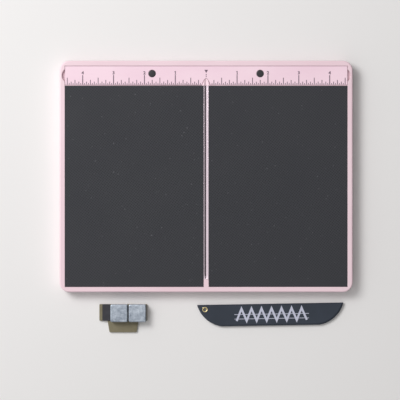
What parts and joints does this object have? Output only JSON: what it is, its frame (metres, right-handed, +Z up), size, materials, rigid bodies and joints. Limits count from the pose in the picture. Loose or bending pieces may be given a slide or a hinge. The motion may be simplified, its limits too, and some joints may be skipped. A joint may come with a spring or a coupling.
{
  "type": "scoring board",
  "caption": "Flat desk board with soft mats beside a central score groove, a lift-off reversible ruler, a magnetic T-stop and a flat scoring tool.",
  "frame": {"origin": "middle of the board's underside on the table: the centre of the middle foot's lower face, below the score line, half way along the board's depth", "axes": "+X to the right along the ruler, +Y towards the ruler at the back edge, +Z up through the work surface"},
  "size_m": [0.2414, 0.2241, 0.0113],
  "materials": {
    "pink_abs": "pale pink moulded ABS, satin with a fine moulding texture",
    "foot_rubber": "dark grey moulded rubber, matte",
    "tape_film": "off-white double-sided adhesive film",
    "sheet_steel": "zinc-coated sheet steel",
    "mat_vinyl": "black soft vinyl with a fine woven emboss, matte",
    "channel_metal": "bright pressed metal strip, polished",
    "ruler_plastic": "pale pink sheet plastic, satin, printed on both faces",
    "stud_nylon": "black moulded nylon",
    "tool_plastic": "black moulded plastic, satin",
    "eyelet_brass": "rolled brass",
    "magnet_sheet": "bare flexible magnet sheet, olive brown and matte",
    "stop_rubber": "black rubber pad, matte",
    "magnet_plating": "nickel-plated magnet block, softly mottled"
  },
  "bodies": {
    "board": {"base_shell": "pink_abs", "rubber_feet": "foot_rubber", "left_mat_tape": "tape_film", "right_mat_tape": "tape_film", "left_steel_sheet": "sheet_steel", "right_steel_sheet": "sheet_steel", "left_mat": "mat_vinyl", "right_mat": "mat_vinyl", "channel_tape": "tape_film", "score_channel": "channel_metal", "ruler_stud_left": "stud_nylon", "ruler_stud_right": "stud_nylon"},
    "ruler": {"ruler": "ruler_plastic"},
    "tool": {"tool_blade": "tool_plastic", "tool_eyelet": "eyelet_brass"},
    "stop": {"stop_plate": "magnet_sheet", "stop_pad": "stop_rubber", "stop_magnet_left": "magnet_plating", "stop_magnet_right": "magnet_plating"}
  },
  "joints": [
    {"name": "ruler_lift", "type": "slide", "parent": "board", "child": "ruler", "axis": [0, 0, 1], "range_m": [0, 0.03]},
    {"name": "tool_lift", "type": "slide", "parent": "board", "child": "tool", "axis": [0, 0, 1], "range_m": [0, 0.04]},
    {"name": "stop_lift", "type": "slide", "parent": "board", "child": "stop", "axis": [0, 0, 1], "range_m": [0, 0.04]}
  ]
}
